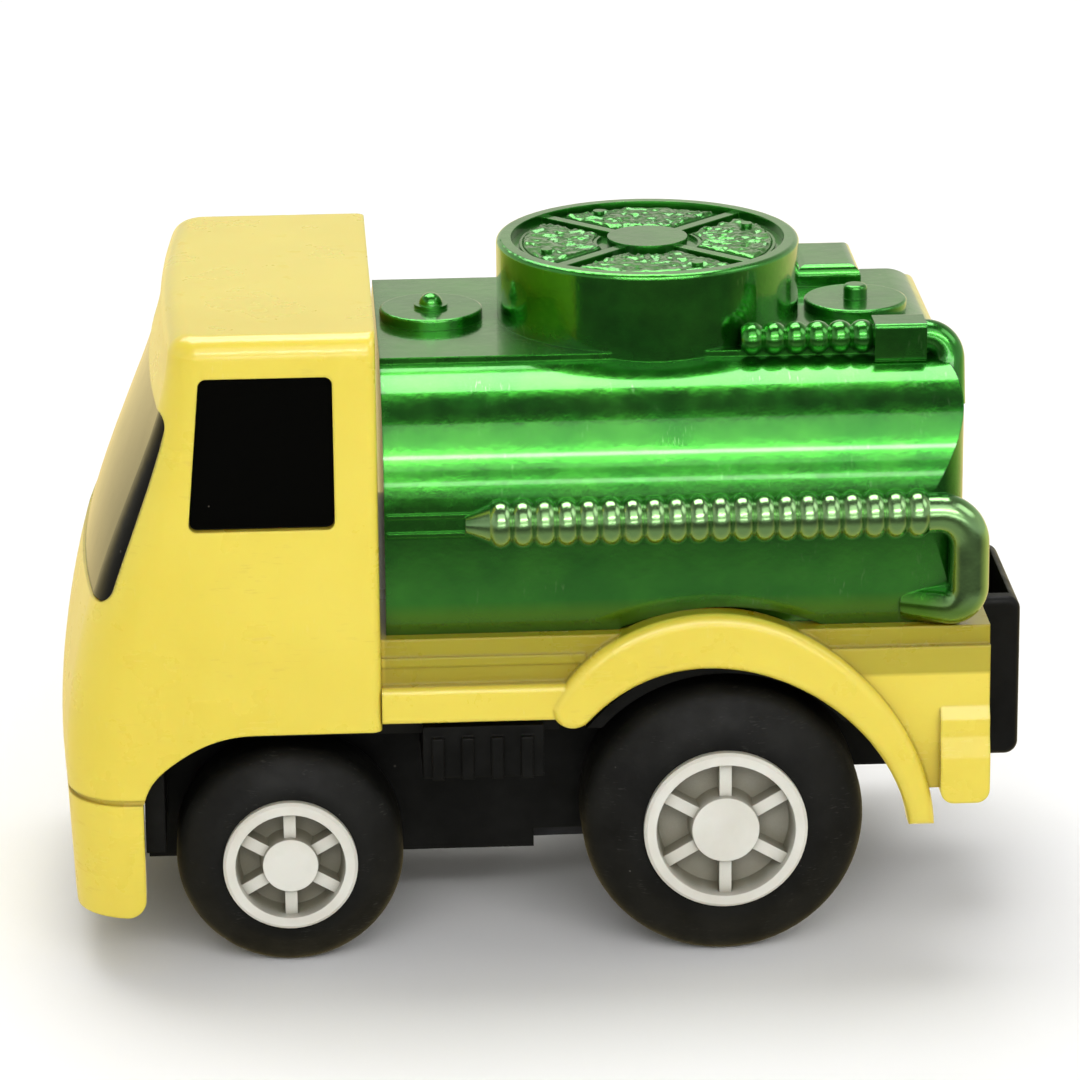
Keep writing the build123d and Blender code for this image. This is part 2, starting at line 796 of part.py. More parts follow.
def fender_room():
    """The round scallop in the tank's lower edge over each fender."""
    top = fender_outer()[2][1] + 2 * seat_gap
    centre_z = top - fender_scallop_radius
    return rod(rear_axle_x + 0.2, centre_z, fender_scallop_radius, tank_foot_half_width - wall / 2,
               body_half_width)


# ================================================================ chassis
def rail_face():
    """Side view of a keel rail."""
    top = chassis_plate_top - chassis_plate / 2
    front = arch_front_x - chassis_wall - seat_gap
    rear = bed_rear_x + wall
    return outline(
        Polyline((front, top), (front, rail_bottom), (rail_step_x, rail_bottom),
                 (rail_step_x, rail_bottom + rail_step),
                 (rear_axle_x - rear_floor_setback + 1.5, rail_bottom + rail_step),
                 (rear_axle_x - rear_floor_setback, rear_floor), (rear, rear_floor), (rear, top), (front, top)),
    )


def plate_half_width():
    """Half width of the plate that fits inside the bed's side walls."""
    return bed_half_width - bed_panel_inset - wall - seat_gap


def arch_liner():
    """The curved well over one rear tyre."""
    inner = well_radius()
    centre_z = well_centre_z()
    outer_y = plate_half_width()
    tube = rod(rear_axle_x, centre_z, inner + liner_wall, rail_inner_y + 0.5, outer_y)
    tube -= rod(rear_axle_x, centre_z, inner, rail_inner_y + rail_wall, outer_y + 1)
    low = chassis_plate_top - chassis_plate
    keep = block(rear_axle_x - 2 * inner, rear_axle_x + 2 * inner, 0, body_half_width, low, low + 20)
    return tube & keep


def ribbed_box():
    """The ribbed box between the wheels."""
    top = chassis_plate_top - chassis_plate / 2
    rear_x = rear_axle_x + side_box_gap
    front_x = rear_x + side_box_length
    box = block(rear_x, front_x, rail_inner_y, chassis_half_width, side_box_bottom, top)
    ribs = Part()
    for step in range(side_rib_count):
        x = front_x - side_rib_pitch * (step + 0.5)
        ribs += block(x - side_rib, x + side_rib, chassis_half_width - side_rib, chassis_half_width + side_rib,
                      side_box_bottom, chassis_plate_top - chassis_plate)
    room = block(rear_x + 1, front_x - 1, rail_inner_y + rail_wall, chassis_half_width - 1,
                 side_box_bottom + 1, chassis_plate_top - chassis_plate)
    return box + ribs - room


def tail_block():
    """The coin holder standing out behind the bed, with its slot from above."""
    half = tail_block_half_width
    top = tail_block_top()
    solid = block(tail_x, bed_rear_x + wall, -half, half, tail_block_bottom, top)
    solid = fillet(solid.edges().filter_by(Axis.Y).sort_by(Axis.X)[:2], tail_round)
    solid = fillet(solid.edges().filter_by(Axis.Z).sort_by(Axis.X)[:2], tail_round / 2)
    slot_x = (tail_x + bed_rear_x) / 2 + 0.1
    slot = block(slot_x - coin_slot / 2, slot_x + coin_slot / 2, -coin_slot_length / 2,
                 coin_slot_length / 2, top - coin_slot_depth, top + 1)
    return solid - slot


def chassis():
    """Black chassis moulding: plate, keel rails, floors, wells, ribbed boxes and coin holder."""
    half = plate_half_width()
    low = chassis_plate_top - chassis_plate
    front = arch_front_x - seat_gap
    rear = bed_rear_x + wall
    plate = block(rear, front, -half, half, low, chassis_plate_top)
    plate += block(front - 1, front_screw_x + boss_width / 2 - 0.5, -boss_width, boss_width,
                   low, chassis_plate_top)
    well_x = well_radius() + liner_wall / 6
    well = block(rear_axle_x - well_x, rear_axle_x + well_x, rail_inner_y + rail_wall, half + 1,
                 low - 1, chassis_plate_top + 1)
    corner = block(rear - 1, corner_box_front_x + seat_gap, bed_half_width - corner_box_depth - seat_gap,
                   half + 1, low - 1, chassis_plate_top + 1)
    plate -= mirrored(well + corner)
    rails = mirrored(across(rail_face(), rail_inner_y, rail_inner_y + rail_wall))
    wide = chassis_half_width
    front_wall = block(front - chassis_wall, front, -wide, wide, front_wall_bottom, low + 0.5)
    nose = block(front - chassis_wall, front, -rail_inner_y - rail_wall, rail_inner_y + rail_wall,
                 rail_bottom, low)
    floor_x = motor_front_x() + 0.5
    front_floor = block(floor_x, front, -rail_inner_y - 0.5, rail_inner_y + 0.5,
                        rail_bottom, rail_bottom + floor_wall)
    cross_wall = block(floor_x, floor_x + floor_wall, -rail_inner_y - 0.5, rail_inner_y + 0.5,
                       rail_bottom, low)
    rear_floor_x = rear_axle_x - rear_floor_setback
    back_floor = block(rear, rear_floor_x, -rail_inner_y - 0.5, rail_inner_y + 0.5,
                       rear_floor, rear_floor + floor_wall)
    body = plate + rails + front_wall + nose + front_floor + cross_wall + back_floor
    body += mirrored(arch_liner() + ribbed_box()) + tail_block()
    half_open = motor_half_width + motor_room
    plate_rear_x = idler_centre()[0] - tip_radius(gear_teeth) - motor_wall - 2 * motor_room
    body -= block(motor_rear_x(), motor_front_x(), -half_open, half_open, rail_bottom - 1, low)
    body -= block(plate_rear_x, motor_front_x(), -half_open, half_open, low - 1, chassis_plate_top + 1)
    for x, z, room in ((front_axle_x, front_tyre_radius, running_clearance),
                       (rear_axle_x, rear_tyre_radius, axle_slot_room)):
        body -= rod(x, z, axle_radius + room, -half, half)
    body -= Pos(rear_screw_x, 0, rear_floor) * Cylinder(screw_head_radius + 0.4, 4 * floor_wall)
    for x in (front_screw_x, rear_screw_x):
        body -= Pos(x, 0, low) * Cylinder(screw_radius + seat_gap, 4 * chassis_plate)
    return body


# ================================================================ wheels
def wheel_sizes(end):
    """Tyre radius, rim radius, rim face Y, tyre width and axle X of one axle's wheels."""
    if end == "front":
        return front_tyre_radius, front_rim_radius, front_rim_face_y, front_tyre_width, front_axle_x
    return rear_tyre_radius, rear_rim_radius, rear_rim_face_y, rear_tyre_width, rear_axle_x


def on_axle(end, side, part):
    """Put a left wheel piece, made about the Y axis, on its axle; side is 1 left, -1 right."""
    radius, _, _, _, x = wheel_sizes(end)
    placed = Pos(x, 0, radius) * part
    return placed if side > 0 else mirror(placed, about=Plane.XZ)


def tyre(end, side):
    """Soft tyre with a broad rounded outer shoulder."""
    radius, rim, face_y, width, _ = wheel_sizes(end)
    seat = rim - rim_lip_height
    outer_y = face_y - rim_lip_width
    inner_y = outer_y - width
    tread_out = outer_y - width * 0.34
    tread_in = inner_y + width * 0.16
    wall_r = radius - (radius - rim) * 0.42
    section = outline(
        Line((seat, outer_y), (rim + 0.15, outer_y)),
        Spline((rim + 0.15, outer_y), (wall_r, outer_y - width * 0.09), (radius, tread_out),
               tangents=[(1, 0), (0, -1)]),
        Line((radius, tread_out), (radius, tread_in)),
        Spline((radius, tread_in), (radius - width * 0.16, inner_y), tangents=[(0, -1), (-1, 0)]),
        Line((radius - width * 0.16, inner_y), (seat, inner_y)),
        Line((seat, inner_y), (seat, outer_y)),
    )
    return on_axle(end, side, revolve(section, Axis.Y))


def hub(end, side):
    """Six spoked hub with a raised rim lip, a sunk dish and a blind bore for the axle."""
    _, rim, face_y, width, _ = wheel_sizes(end)
    seat = rim - rim_lip_height
    lip_y = face_y - rim_lip_width
    back_y = lip_y - width * 0.8
    centre = rim * 0.41
    dish_r = rim - rim_wall
    floor_y = face_y - dish_depth
    section = outline(
        Polyline((0, back_y), (seat, back_y), (seat, lip_y), (rim, lip_y), (rim, face_y - 0.15),
                 (rim - 0.15, face_y), (dish_r + 0.1, face_y), (dish_r - 0.1, floor_y),
                 (centre + 0.15, floor_y), (centre, face_y - centre_drop), (0, face_y - centre_drop),
                 (0, back_y)),
    )
    body = revolve(section, Axis.Y)
    for step in range(spoke_count):
        turn = math.radians(90 + step * 360 / spoke_count)
        body += spoke(turn, centre * 0.8, dish_r + 0.15, floor_y - 0.2, face_y - spoke_drop)
    bore = Rot(90, 0, 0) * Cylinder(axle_radius, 2 * (face_y - hub_nose))
    back_room = Pos(0, back_y, 0) * Rot(90, 0, 0) * Cylinder(seat - 0.8, 2 * (width * 0.8 - hub_web))
    post = Pos(0, back_y, 0) * Rot(90, 0, 0) * Cylinder(axle_radius + 0.8, 2 * (width * 0.8 - hub_web) + 1)
    body -= back_room - post
    return on_axle(end, side, body - bore)


def spoke(turn, r0, r1, y0, y1):
    """One straight spoke from r0 to r1 about the Y axis."""
    bar = block(r0, r1, y0, y1, -spoke_width / 2, spoke_width / 2)
    return Rot(0, -math.degrees(turn), 0) * bar


def axle(end):
    """Steel axle rod pressed into both hubs."""
    radius, _, face_y, _, x = wheel_sizes(end)
    reach = face_y - hub_nose
    return rod(x, radius, axle_radius, -reach, reach)


# ================================================================ motor
def pitch_radius(teeth):
    return gear_module * teeth / 2


def gear_spacing():
    return pitch_radius(gear_teeth) + pitch_radius(pinion_teeth)


def idler_centre():
    """Centre of the idler gear, in mesh with the axle pinion."""
    turn = math.radians(pinion_angle)
    return (rear_axle_x + gear_spacing() * math.cos(turn), rear_tyre_radius + gear_spacing() * math.sin(turn))


def arbor_centre():
    """Centre of the spring's arbor, in mesh with the idler pinion."""
    x, z = idler_centre()
    turn = math.radians(spring_angle)
    return x + gear_spacing() * math.cos(turn), z + gear_spacing() * math.sin(turn)


def tip_radius(teeth):
    return pitch_radius(teeth) + 0.85 * gear_module


def involute_angle(base, radius):
    """Polar angle that an involute from its base circle has reached at a radius."""
    if radius <= base:
        return 0.0
    roll = math.sqrt((radius / base) ** 2 - 1)
    return roll - math.atan(roll)


def gear_face(teeth, phase, bore):
    """Involute gear outline in X and Z about the origin; phase turns one tooth's middle to an angle."""
    pitch_r = pitch_radius(teeth)
    base_r = pitch_r * math.cos(math.radians(pressure_angle))
    tip_r = tip_radius(teeth)
    root_r = pitch_r - 1.15 * gear_module
    half_tooth = math.pi / (2 * teeth) - backlash / (2 * pitch_r)
    at_pitch = involute_angle(base_r, pitch_r)
    flank = [root_r, max(base_r, root_r), (pitch_r + max(base_r, root_r)) / 2, pitch_r,
             (pitch_r + tip_r) / 2, tip_r]
    points = []
    for tooth in range(teeth):
        middle = math.radians(phase) + 2 * math.pi * tooth / teeth
        for side, radii in ((-1, flank), (1, flank[::-1])):
            for r in radii:
                lean = half_tooth + at_pitch - involute_angle(base_r, r)
                turn = middle + side * lean
                points.append((r * math.cos(turn), r * math.sin(turn)))
    wheel = make_face(Polyline(*points, points[0]))
    return wheel - Circle(bore) if bore else wheel


def gear(teeth, phase, bore, centre, y0, y1):
    return across(Pos(*centre) * gear_face(teeth, phase, bore), y0, y1)


def first_plane():
    """Y where the axle pinion and the idler gear start."""
    return -motor_half_width + motor_wall + motor_room


def second_plane():
    """Y where the idler pinion and the spring gear start."""
    return first_plane() + gear_width + gear_gap


def axle_pinion():
    """The small gear pressed on the rear axle, one tooth pointing at the idler."""
    centre = (rear_axle_x, rear_tyre_radius)
    y = first_plane()
    return gear(pinion_teeth, pinion_angle, axle_radius, centre, y, y + gear_width)


def idler_gear():
    """The idler: a large gear on the axle pinion and a small one on the spring gear, in one moulding."""
    centre = idler_centre()
    bore = pin_radius + running_clearance
    facing = pinion_angle + 180
    large_phase = facing + 180 / gear_teeth
    y = first_plane()
    y2 = second_plane()
    large = gear(gear_teeth, large_phase, bore, centre, y, y + gear_width)
    small = gear(pinion_teeth, spring_angle, bore, centre, y + gear_width, y2 + gear_width)
    return large + small


def idler_pin():
    """The fixed steel pin that the idler runs on."""
    x, z = idler_centre()
    return rod(x, z, pin_radius, -motor_half_width + 0.2, motor_half_width - 0.2)


def spring_gear():
    """The spring's gear and arbor in one piece, with a hook that catches the spring."""
    centre = arbor_centre()
    y = second_plane()
    phase = spring_angle + 180 + 180 / gear_teeth
    wheel = gear(gear_teeth, phase, 0, centre, y, y + gear_width)
    shaft = rod(*centre, arbor_radius, y - 0.2, spring_end_y())
    pivots = rod(*centre, pin_radius, -motor_half_width + 0.2, motor_half_width - 0.2)
    return wheel + shaft + pivots


def spring_start_y():
    return second_plane() + gear_width + 0.6


def spring_end_y():
    return spring_start_y() + spring_width


def mainspring():
    """The spiral steel strip round the arbor, its outer end bent to the case's anchor slot."""
    x, z = arbor_centre()
    inner_r = arbor_radius + spring_strip
    points_per_turn = 12
    count = spring_turns * points_per_turn

    def strip_edge(extra):
        pts = []
        for step in range(count + 1):
            r = inner_r + (spring_outer_radius - inner_r) * step / count + extra
            turn = 2 * math.pi * step / points_per_turn
            pts.append((x + r * math.cos(turn), z + r * math.sin(turn)))
        return pts

    inside = strip_edge(0)
    outside = strip_edge(spring_strip)
    strip = outline(
        Spline(*inside),
        Line(inside[-1], outside[-1]),
        Spline(*outside[::-1]),
        Line(outside[0], inside[0]),
    )
    return across(strip, spring_start_y(), spring_end_y())


def motor_face(inset):
    """The motor case's outline round its three shafts, drawn in by inset."""
    room = motor_room + motor_wall - inset
    small = tip_radius(pinion_teeth) + room
    large = tip_radius(gear_teeth) + room
    circles = [
        Pos(rear_axle_x, rear_tyre_radius) * Circle(small),
        Pos(*idler_centre()) * Circle(large),
        Pos(*arbor_centre()) * Circle(large),
    ]
    return make_hull([edge for circle in circles for edge in circle.edges()])


def motor_front_x():
    return arbor_centre()[0] + tip_radius(gear_teeth) + motor_room + motor_wall + 0.15


def motor_rear_x():
    return rear_axle_x - tip_radius(pinion_teeth) - motor_room - motor_wall - 0.15


def motor_bores():
    """Bearing holes through both sides of the motor case."""
    reach = motor_half_width + 1
    bores = rod(rear_axle_x, rear_tyre_radius, axle_radius + running_clearance, -reach, reach)
    bores += rod(*idler_centre(), pin_radius, -reach, reach)
    bores += rod(*arbor_centre(), pin_radius + running_clearance, -reach, reach)
    return bores


def motor_ear_block(x0, x1, ahead, behind):
    """An ear on top of the chassis plate with a stalk down to the case between x0 and x1."""
    half = motor_ear_half_width
    top = chassis_plate_top + motor_ear
    flange = block(x0 - behind, x1 + ahead, -half, half, chassis_plate_top, top)
    return flange + block(x0, x1 - motor_room, -half, half, idler_centre()[1], top)


def motor_case():
    """Right half of the motor case: side wall, rim and the two ears that rest on the chassis plate."""
    left_y = motor_half_width - motor_wall
    solid = across(motor_face(0), -motor_half_width, left_y)
    solid += motor_ear_block(motor_front_x() - motor_ear_reach, motor_front_x(), motor_ear_rest, 0)
    rear_x = idler_centre()[0] - tip_radius(gear_teeth) - motor_wall
    solid += motor_ear_block(rear_x, rear_x + motor_ear_reach / 2, 0, motor_ear_rest + motor_ear / 2)
    solid -= across(motor_face(motor_wall), -motor_half_width + motor_wall, left_y + 1)
    return solid - motor_bores()


def motor_cover():
    """Left half of the motor case, a flat plate with the bearing holes."""
    plate = across(motor_face(0), motor_half_width - motor_wall, motor_half_width)
    return plate - motor_bores()


def wheel_nodes():
    """Every hub and tyre, named for its axle and side."""
    nodes = {}
    for end in ("front", "rear"):
        for side, word in ((1, "left"), (-1, "right")):
            nodes[f"tyre_{end}_{word}"] = lambda e=end, s=side: tyre(e, s)
            nodes[f"hub_{end}_{word}"] = lambda e=end, s=side: hub(e, s)
    return nodes


NODES = {
    "cab_shell": cab_shell,
    "glazing_insert": glazing_insert,
    "body_screws": body_screws,
    "bed": bed,
    "tank": tank,
    "chassis": chassis,
    "front_axle": lambda: axle("front"),
    "rear_axle": lambda: axle("rear"),
    "axle_pinion": axle_pinion,
    "idler_gear": idler_gear,
    "idler_pin": idler_pin,
    "spring_gear": spring_gear,
    "mainspring": mainspring,
    "motor_case": motor_case,
    "motor_cover": motor_cover,
    **wheel_nodes(),
}

if __name__ == "__main__":
    os.makedirs("parts", exist_ok=True)
    for name, make in NODES.items():
        export_step(make(), f"parts/{name}.step")
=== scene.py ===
import json
import math

import bmesh
import bpy
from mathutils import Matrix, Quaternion, Vector, noise


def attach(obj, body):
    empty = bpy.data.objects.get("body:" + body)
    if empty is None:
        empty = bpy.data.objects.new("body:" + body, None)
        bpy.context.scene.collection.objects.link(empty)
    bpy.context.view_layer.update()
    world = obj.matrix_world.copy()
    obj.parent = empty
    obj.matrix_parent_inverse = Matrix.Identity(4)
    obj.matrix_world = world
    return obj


# Pocket tanker truck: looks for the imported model. Metres, in the CAD frame.
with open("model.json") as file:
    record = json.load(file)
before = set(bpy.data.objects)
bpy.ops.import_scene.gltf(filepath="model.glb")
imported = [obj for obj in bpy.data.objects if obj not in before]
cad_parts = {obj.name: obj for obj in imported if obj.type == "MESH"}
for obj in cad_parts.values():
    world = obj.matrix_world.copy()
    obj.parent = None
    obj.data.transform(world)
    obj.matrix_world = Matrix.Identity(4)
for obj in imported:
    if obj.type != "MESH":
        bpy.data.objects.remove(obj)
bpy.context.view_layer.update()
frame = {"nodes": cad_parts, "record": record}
scene = bpy.context.scene
MM = 0.001

# Stretches of a pattern: level lines, upright lines, and finer upright lines.
LEVEL = (1.0, 1.0, 6.0)
UPRIGHT = (5.0, 1.0, 1.0)
FINE_UPRIGHT = (6.0, 1.0, 1.0)

# ---------------------------------------------------------------- camera
CAMERA_TARGET = Vector((-0.2, 0.0, 18.55)) * MM
CAMERA_DISTANCE = 276.0 * MM
CAMERA_ELEVATION = 18.2
CAMERA_YAW = 3.0
CAMERA_ROLL = 0.5
SENSOR_WIDTH = 36.0
FOCAL_PIXELS = 5300.0
FRAME_PIXELS = 1080.0
NEAREST = 0.01
FARTHEST = 20.0


def direction(azimuth, elevation):
    """Unit vector from the truck; azimuth 0 is its left side, positive towards the nose, in degrees."""
    a = math.radians(azimuth)
    e = math.radians(elevation)
    return Vector((math.sin(a) * math.cos(e), math.cos(a) * math.cos(e), math.sin(e)))


def make_camera():
    """A long lens on the truck's left, a little towards the nose and above it."""
    back = direction(CAMERA_YAW, CAMERA_ELEVATION)
    data = bpy.data.cameras.new("camera")
    data.lens = SENSOR_WIDTH * FOCAL_PIXELS / FRAME_PIXELS
    data.sensor_width = SENSOR_WIDTH
    data.clip_start = NEAREST
    data.clip_end = FARTHEST
    camera = bpy.data.objects.new("camera", data)
    scene.collection.objects.link(camera)
    camera.location = CAMERA_TARGET + back * CAMERA_DISTANCE
    aim = (-back).to_track_quat("-Z", "Y")
    camera.rotation_mode = "QUATERNION"
    camera.rotation_quaternion = aim @ Quaternion((0, 0, 1), math.radians(-CAMERA_ROLL))
    scene.camera = camera


# ---------------------------------------------------------------- node helpers
class Nodes:
    """A material's node tree with short calls to add and join nodes."""

    def __init__(self, name):
        self.material = bpy.data.materials.new(name)
        self.material.use_nodes = True
        self.tree = self.material.node_tree
        self.shader = self.tree.nodes["Principled BSDF"]
        self.place = self.add("ShaderNodeTexCoord").outputs["Object"]

    def add(self, kind, **values):
        node = self.tree.nodes.new(kind)
        for key, value in values.items():
            setattr(node, key, value)
        return node

    def join(self, out, into):
        self.tree.links.new(out, into)

    def put(self, socket, value):
        """Link an output into a socket, or set the socket's number or colour."""
        if isinstance(value, bpy.types.NodeSocket):
            self.join(value, socket)
        elif isinstance(value, tuple) and len(value) == 3 and socket.type == "RGBA":
            socket.default_value = (*value, 1.0)
        else:
            socket.default_value = value

    def stretched(self, x, y, z):
        """The place with each axis scaled, for patterns longer one way than another."""
        node = self.add("ShaderNodeMapping")
        self.join(self.place, node.inputs["Vector"])
        node.inputs["Scale"].default_value = (x, y, z)
        return node.outputs["Vector"]

    def axes(self):
        """The place's X, Y and Z in metres."""
        node = self.add("ShaderNodeSeparateXYZ")
        self.join(self.place, node.inputs[0])
        return [node.outputs[name] for name in "XYZ"]

    def noise(self, per_metre, detail=3.0, roughness=0.55, place=None):
        """Cloudy 0 to 1 pattern."""
        node = self.add("ShaderNodeTexNoise")
        self.join(place or self.place, node.inputs["Vector"])
        node.inputs["Scale"].default_value = per_metre
        node.inputs["Detail"].default_value = detail
        node.inputs["Roughness"].default_value = roughness
        return node.outputs["Fac"]

    def cells(self, per_metre):
        """Distance to the nearest cell centre and a random value for each cell."""
        node = self.add("ShaderNodeTexVoronoi")
        self.join(self.place, node.inputs["Vector"])
        node.inputs["Scale"].default_value = per_metre
        split = self.add("ShaderNodeSeparateColor")
        self.join(node.outputs["Color"], split.inputs[0])
        return node.outputs["Distance"], split.outputs[0]

    def ramp(self, value, low, high, start=0.0, end=1.0):
        """The value carried from low..high to start..end, held at both ends."""
        node = self.add("ShaderNodeMapRange")
        self.put(node.inputs["Value"], value)
        node.inputs["From Min"].default_value = low
        node.inputs["From Max"].default_value = high
        node.inputs["To Min"].default_value = start
        node.inputs["To Max"].default_value = end
        return node.outputs["Result"]

    def math(self, operation, a, b=0.0):
        """The operation on two outputs or numbers."""
        node = self.add("ShaderNodeMath", operation=operation)
        self.put(node.inputs[0], a)
        self.put(node.inputs[1], b)
        return node.outputs[0]

    def mix(self, amount, a, b):
        """Colour a carried to colour b by amount."""
        node = self.add("ShaderNodeMix", data_type="RGBA")
        self.put(node.inputs["Factor"], amount)
        self.put(node.inputs[6], a)
        self.put(node.inputs[7], b)
        return node.outputs[2]

    def crevice(self, distance, low=0.35, high=0.95):
        """1 in corners and recesses, 0 on open faces."""
        node = self.add("ShaderNodeAmbientOcclusion", samples=8)
        node.inputs["Distance"].default_value = distance
        return self.ramp(node.outputs["AO"], low, high, 1.0, 0.0)

    def specks(self, per_metre, size, share):
        """Sparse round specks: 1 inside a speck."""
        distance, chance = self.cells(per_metre)
        chosen = self.ramp(chance, share, share * 0.98, 0.0, 1.0)
        inside = self.ramp(distance, size, size * 0.6, 0.0, 1.0)
        return self.math("MULTIPLY", chosen, inside)

    def scuffs(self, per_metre, low, high, lean=LEVEL):
        """Thin broken scratches in patches, thinnest across the axis that lean stretches most."""
        lines = self.noise(per_metre, 2.0, 0.5, self.stretched(*lean))
        patches = self.noise(per_metre * 0.35, 2.0)
        marks = self.ramp(lines, low, high)
        where = self.ramp(patches, 0.52, 0.66)
        return self.math("MULTIPLY", marks, where)

    def bump(self, height, depth, strength, edge=0.0):
        """Relief of that height pattern, depth metres deep, over edges rounded by edge."""
        node = self.add("ShaderNodeBump")
        node.inputs["Strength"].default_value = strength
        node.inputs["Distance"].default_value = depth
        self.join(height, node.inputs["Height"])
        if edge:
            rounded = self.add("ShaderNodeBevel", samples=4)
            rounded.inputs["Radius"].default_value = edge
            self.join(rounded.outputs["Normal"], node.inputs["Normal"])
        self.join(node.outputs["Normal"], self.shader.inputs["Normal"])

    def set(self, **values):
        """Set or link the shader's sockets by name, with _ for a space."""
        for key, value in values.items():
            self.put(self.shader.inputs[key.replace("_", " ")], value)
        return self.material


# ---------------------------------------------------------------- materials
# Where the colour changes by place, in metres as start and end: painted shade on the bed's sunk side panel,
# the hoses painted paler, and a painted reflection of the bed on the tank's foot.
PANEL_FACE_Y = (12.40 * MM, 12.62 * MM)
PANEL_FRONT_X = (8.2 * MM, 8.4 * MM)
PANEL_FOOT_Z = (14.95 * MM, 15.15 * MM)
HOSE_Y = (12.4 * MM, 12.9 * MM)
TANK_FOOT_Z = (18.5 * MM, 19.3 * MM)


def yellow_plastic():
    """Glossy moulded yellow with rubbed marks, specks, grime and painted shade in corners, and painted shade
    on the bed's sunk side.
    """
    n = Nodes("yellow_plastic")
    tone = n.mix(n.ramp(n.noise(70.0), 0.35, 0.65), (0.80, 0.64, 0.062), (0.86, 0.705, 0.085))
    rubbed = n.mix(n.math("MULTIPLY", n.scuffs(900.0, 0.60, 0.68), 0.20), tone, (0.56, 0.38, 0.02))
    scratches = n.math("MULTIPLY", n.scuffs(1400.0, 0.63, 0.70, UPRIGHT), 0.15)
    pale = n.mix(scratches, rubbed, (0.90, 0.78, 0.32))
    x, y, z = n.axes()
    sunk = n.ramp(n.math("ABSOLUTE", y), *PANEL_FACE_Y, 1.0, 0.0)
    low = n.math("MULTIPLY", n.ramp(x, *PANEL_FRONT_X, 1.0, 0.0), n.ramp(z, *PANEL_FOOT_Z))
    # Painted shade: the bed's sunk side panel is darkened by place, standing in for the shade under the
    # tank.
    panel_painted_shade = n.mix(n.math("MULTIPLY", n.math("MULTIPLY", sunk, low), 0.9), pale, (0.33, 0.28, 0.004))
    # Grime and painted shade: corners and recesses are darkened by ambient occlusion.
    grime_and_shade = n.mix(n.math("MULTIPLY", n.crevice(1.6 * MM), 0.6), panel_painted_shade, (0.36, 0.24, 0.005))
    dark = n.mix(n.math("MULTIPLY", n.specks(420.0, 0.075, 0.10), 0.75), grime_and_shade, (0.16, 0.11, 0.02))
    rough = n.math("ADD", n.ramp(n.noise(260.0, 5.0), 0.3, 0.7, 0.25, 0.33),
                   n.math("MULTIPLY", n.scuffs(900.0, 0.58, 0.68), 0.25))
    skin = n.math("ADD", n.noise(160.0, 2.0), n.math("MULTIPLY", n.noise(5200.0, 2.0), 0.03))
    n.bump(skin, 0.08 * MM, 0.30, edge=0.22 * MM)
    return n.set(Base_Color=dark, Roughness=rough, Specular_IOR_Level=0.6, Coat_Weight=0.8,
                 Coat_Roughness=0.16, Subsurface_Weight=0.12, Subsurface_Scale=1.2 * MM)


def green_plating():
    """Metallised green under clear lacquer: mirror highlights, cast grain, rubbed and dusty in places, the
    hoses painted paler, a painted reflection of the bed along the foot, and grime with painted shade in
    corners.
    """
    n = Nodes("green_plating")
    tone = n.mix(n.ramp(n.noise(240.0, 4.0), 0.35, 0.65), (0.028, 0.28, 0.022), (0.060, 0.40, 0.034))
    y, z = n.axes()[1:]
    # The hoses, outside the tank's wall, are painted paler than the tank by place.
    outer = n.ramp(n.math("ABSOLUTE", y), *HOSE_Y)
    hoses_paler = n.mix(n.math("MULTIPLY", outer, 0.7), tone, (0.40, 0.64, 0.28))
    # Painted reflection: the tank's foot is tinted lime, standing in for the yellow bed reflected there.
    bed_reflection_mask = n.ramp(z, *TANK_FOOT_Z, 0.7, 0.0)
    painted_bed_reflection = n.mix(bed_reflection_mask, hoses_paler, (0.16, 0.36, 0.006))
    scratches = n.math("MULTIPLY", n.scuffs(1300.0, 0.62, 0.70, FINE_UPRIGHT), 0.4)
    worn = n.mix(scratches, painted_bed_reflection, (0.25, 0.55, 0.20))
    # Grime and painted shade: corners are darkened by ambient occlusion.
    grime_and_shade = n.mix(n.math("MULTIPLY", n.crevice(1.2 * MM), 0.6), worn, (0.015, 0.09, 0.012))
    dusty = n.mix(n.math("MULTIPLY", n.specks(700.0, 0.06, 0.12), 0.5), grime_and_shade, (0.45, 0.55, 0.32))
    rough = n.math("ADD", n.ramp(n.noise(700.0, 5.0), 0.3, 0.7, 0.15, 0.27),
                   n.math("MULTIPLY", n.crevice(1.2 * MM), 0.2))
    grain = n.math("ADD", n.noise(1500.0, 4.0), n.math("MULTIPLY", n.noise(230.0, 2.0), 0.9))
    n.bump(grain, 0.035 * MM, 0.5, edge=0.12 * MM)
    return n.set(Base_Color=dusty, Metallic=1.0, Roughness=rough, Coat_Weight=1.0, Coat_Roughness=0.08)


def window_black():
    """Polished opaque black panes with a little lint and faint rubbing."""
    n = Nodes("window_black")
    tone = n.mix(n.specks(900.0, 0.06, 0.16), (0.0015, 0.0015, 0.0012), (0.05, 0.045, 0.035))
    rough = n.ramp(n.noise(500.0, 5.0), 0.3, 0.75, 0.08, 0.18)
    n.bump(n.noise(120.0, 2.0), 0.05 * MM, 0.3, edge=0.1 * MM)
    return n.set(Base_Color=tone, Roughness=rough, Specular_IOR_Level=0.05, Coat_Weight=1.0,
                 Coat_Roughness=0.05, Coat_IOR=1.16)


def black_plastic(name="black_plastic", tone=(0.003, 0.003, 0.0027), light=(0.008, 0.008, 0.0072)):
    """Moulded black, grained, with specks of dust."""
    n = Nodes(name)
    base = n.mix(n.ramp(n.noise(300.0, 4.0), 0.35, 0.65), tone, light)
    dust = n.mix(n.math("MULTIPLY", n.specks(650.0, 0.07, 0.15), 0.5), base, (0.13, 0.12, 0.10))
    rough = n.ramp(n.noise(900.0, 4.0), 0.3, 0.7, 0.34, 0.52)
    n.bump(n.noise(3000.0, 3.0), 0.03 * MM, 0.5, edge=0.15 * MM)
    return n.set(Base_Color=dust, Roughness=rough, Specular_IOR_Level=0.2)


